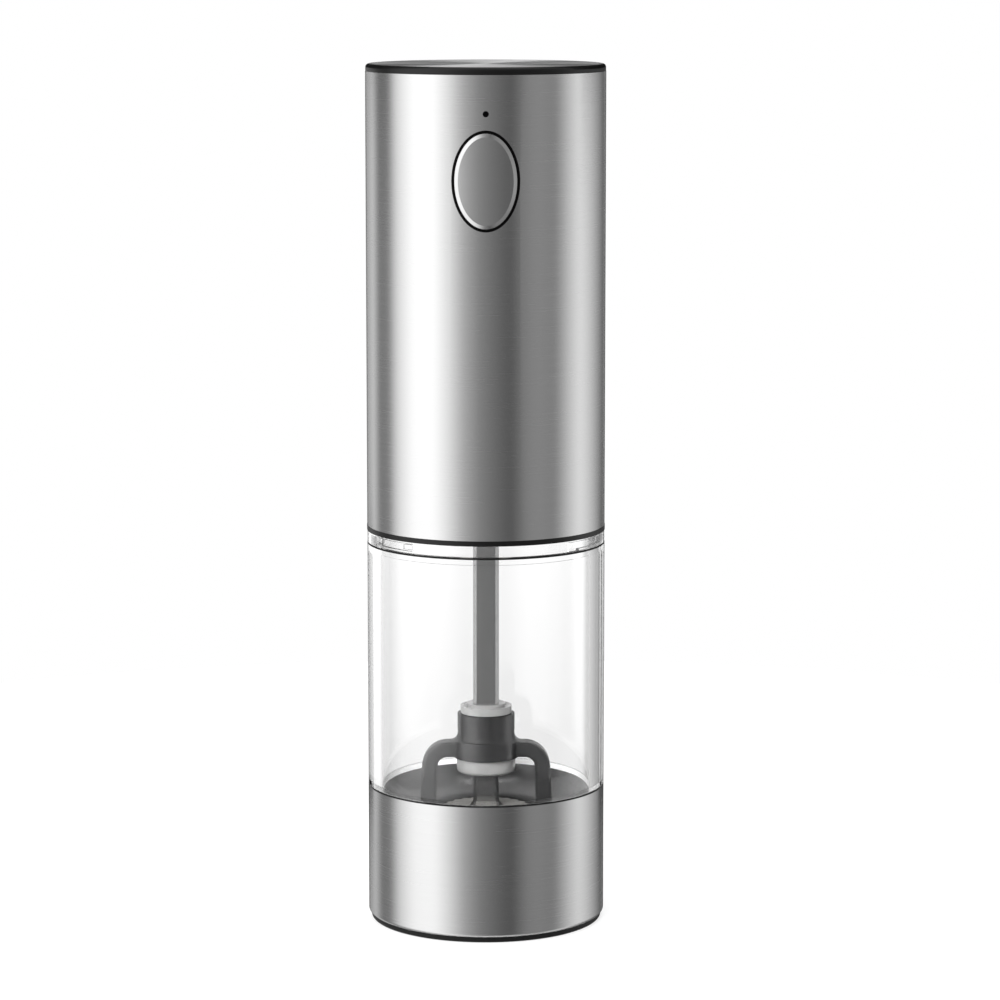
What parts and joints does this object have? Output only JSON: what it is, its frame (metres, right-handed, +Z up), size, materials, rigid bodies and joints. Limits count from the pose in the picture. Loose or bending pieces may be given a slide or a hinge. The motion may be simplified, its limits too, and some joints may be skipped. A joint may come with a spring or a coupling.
{
  "type": "electric salt and pepper mill",
  "caption": "Upright electric salt and pepper mill: brushed steel head with oval push button, clear jar, ceramic burr grinder in a brushed steel base",
  "frame": {"origin": "centre of the underside of the foot ring, on the floor", "axes": "+Z up along the mill, the button faces -Y, the charge socket +Y"},
  "size_m": [0.052, 0.0525, 0.1881],
  "materials": {
    "steel": "brushed around the tube, satin",
    "top_steel": "spun, satin",
    "shaft_steel": "drawn bar, dull",
    "button_metal": "satin face, bright bevel",
    "black_plastic": "fine moulded texture",
    "seal_rubber": "matt",
    "clear_plastic": "clear, polished",
    "smoke_plastic": "smoked",
    "dark_plastic": "satin moulded",
    "bush_plastic": "translucent natural nylon",
    "ceramic": "unglazed, fine grain",
    "screw_steel": "zinc plated",
    "chassis_plastic": "moulded",
    "gear_plastic": "natural acetal",
    "motor_steel": "plated",
    "magnet": "sintered",
    "copper": "enamelled copper",
    "bearing_bronze": "sintered",
    "cell_wrap": "shrink sleeve",
    "strap_nickel": "nickel",
    "board_green": "solder mask",
    "switch_plastic": "moulded",
    "led_lens": "clear lens"
  },
  "bodies": {
    "base": {"foot_ring": "seal_rubber", "base_sleeve": "steel", "base_core": "black_plastic", "base_screws": "screw_steel", "seam_gasket": "seal_rubber", "jar": "clear_plastic", "jar_seal": "seal_rubber", "burr_housing": "dark_plastic", "stator_burr": "ceramic"},
    "head": {"neck_ring": "clear_plastic", "head_ring": "black_plastic", "head_floor": "chassis_plastic", "floor_seal": "seal_rubber", "head_sleeve": "steel", "top_cap": "black_plastic", "top_disc": "top_steel", "chassis_front": "chassis_plastic", "chassis_rear": "chassis_plastic", "chassis_screws": "screw_steel", "gearbox_case": "gear_plastic", "gearbox_lid": "gear_plastic", "gearbox_screws": "screw_steel", "output_bearing": "bearing_bronze", "motor_can": "motor_steel", "motor_end_bell": "chassis_plastic", "motor_magnets": "magnet", "motor_terminals": "copper", "motor_screws": "screw_steel", "battery_cells": "cell_wrap", "battery_straps": "strap_nickel", "circuit_board": "board_green", "board_screws": "screw_steel", "switch_base": "switch_plastic", "status_led": "led_lens", "light_pipe": "smoke_plastic", "button_bezel": "black_plastic", "charge_board": "board_green", "charge_socket": "strap_nickel", "leads": "switch_plastic"},
    "button": {"button_cap": "button_metal"},
    "plunger": {"switch_plunger": "switch_plastic"},
    "motor_rotor": {"motor_shaft": "motor_steel", "armature": "motor_steel", "windings": "copper", "commutator": "copper", "sun_gear": "motor_steel"},
    "first_carrier": {"carrier_1": "gear_plastic"},
    "output": {"output_carrier": "gear_plastic", "drive_shaft": "shaft_steel", "upper_bush": "bush_plastic", "lower_bush": "bush_plastic"},
    "rotor": {"rotor_burr": "ceramic", "rotor_clip": "screw_steel"},
    "knob": {"adjust_knob": "black_plastic"},
    "planet_1_a": {"planet_1_a": "gear_plastic"},
    "planet_1_b": {"planet_1_b": "gear_plastic"},
    "planet_1_c": {"planet_1_c": "gear_plastic"},
    "planet_2_a": {"planet_2_a": "gear_plastic"},
    "planet_2_b": {"planet_2_b": "gear_plastic"},
    "planet_2_c": {"planet_2_c": "gear_plastic"}
  },
  "joints": [
    {"name": "head_twist", "type": "hinge", "parent": "base", "child": "head", "pos_m": [0, 0, 0.085], "axis": [0, 0, 1], "range_deg": [0, 30]},
    {"name": "button_press", "type": "slide", "parent": "head", "child": "button", "axis": [0, 1, 0], "range_m": [0, 0.0005], "stiffness_N_per_m": 4000},
    {"name": "plunger_press", "type": "slide", "parent": "head", "child": "plunger", "axis": [0, 1, 0], "range_m": [0, 0.0005]},
    {"name": "motor_spin", "type": "hinge", "parent": "head", "child": "motor_rotor", "pos_m": [0, 0, 0.125], "axis": [0, 0, 1], "continuous": true},
    {"name": "carrier_spin", "type": "hinge", "parent": "head", "child": "first_carrier", "pos_m": [0, 0, 0.105], "axis": [0, 0, 1], "continuous": true},
    {"name": "output_spin", "type": "hinge", "parent": "head", "child": "output", "pos_m": [0, 0, 0.095], "axis": [0, 0, 1], "continuous": true},
    {"name": "rotor_lift", "type": "slide", "parent": "output", "child": "rotor", "axis": [0, 0, 1], "range_m": [0, 0.0007]},
    {"name": "knob_turn", "type": "hinge", "parent": "rotor", "child": "knob", "pos_m": [0, 0, 0.004], "axis": [0, 0, 1], "range_deg": [0, 360.05]},
    {"name": "planet_1_a_spin", "type": "hinge", "parent": "first_carrier", "child": "planet_1_a", "pos_m": [0, 0.009, 0.108], "axis": [0, 0, 1], "continuous": true},
    {"name": "planet_2_a_spin", "type": "hinge", "parent": "output", "child": "planet_2_a", "pos_m": [0, 0.009, 0.101], "axis": [0, 0, 1], "continuous": true},
    {"name": "planet_1_b_spin", "type": "hinge", "parent": "first_carrier", "child": "planet_1_b", "pos_m": [-0.00779, -0.0045, 0.108], "axis": [0, 0, 1], "continuous": true},
    {"name": "planet_2_b_spin", "type": "hinge", "parent": "output", "child": "planet_2_b", "pos_m": [-0.00779, -0.0045, 0.101], "axis": [0, 0, 1], "continuous": true},
    {"name": "planet_1_c_spin", "type": "hinge", "parent": "first_carrier", "child": "planet_1_c", "pos_m": [0.00779, -0.0045, 0.108], "axis": [0, 0, 1], "continuous": true},
    {"name": "planet_2_c_spin", "type": "hinge", "parent": "output", "child": "planet_2_c", "pos_m": [0.00779, -0.0045, 0.101], "axis": [0, 0, 1], "continuous": true}
  ],
  "couplings": [
    {"joint": "plunger_press", "follows": "button_press", "ratio": 1},
    {"joint": "carrier_spin", "follows": "motor_spin", "ratio": 0.2},
    {"joint": "output_spin", "follows": "motor_spin", "ratio": 0.04},
    {"joint": "knob_turn", "follows": "rotor_lift", "rad_per_m": 8976},
    {"joint": "planet_1_a_spin", "follows": "motor_spin", "ratio": -0.53333},
    {"joint": "planet_2_a_spin", "follows": "motor_spin", "ratio": -0.10667},
    {"joint": "planet_1_b_spin", "follows": "motor_spin", "ratio": -0.53333},
    {"joint": "planet_2_b_spin", "follows": "motor_spin", "ratio": -0.10667},
    {"joint": "planet_1_c_spin", "follows": "motor_spin", "ratio": -0.53333},
    {"joint": "planet_2_c_spin", "follows": "motor_spin", "ratio": -0.10667}
  ]
}
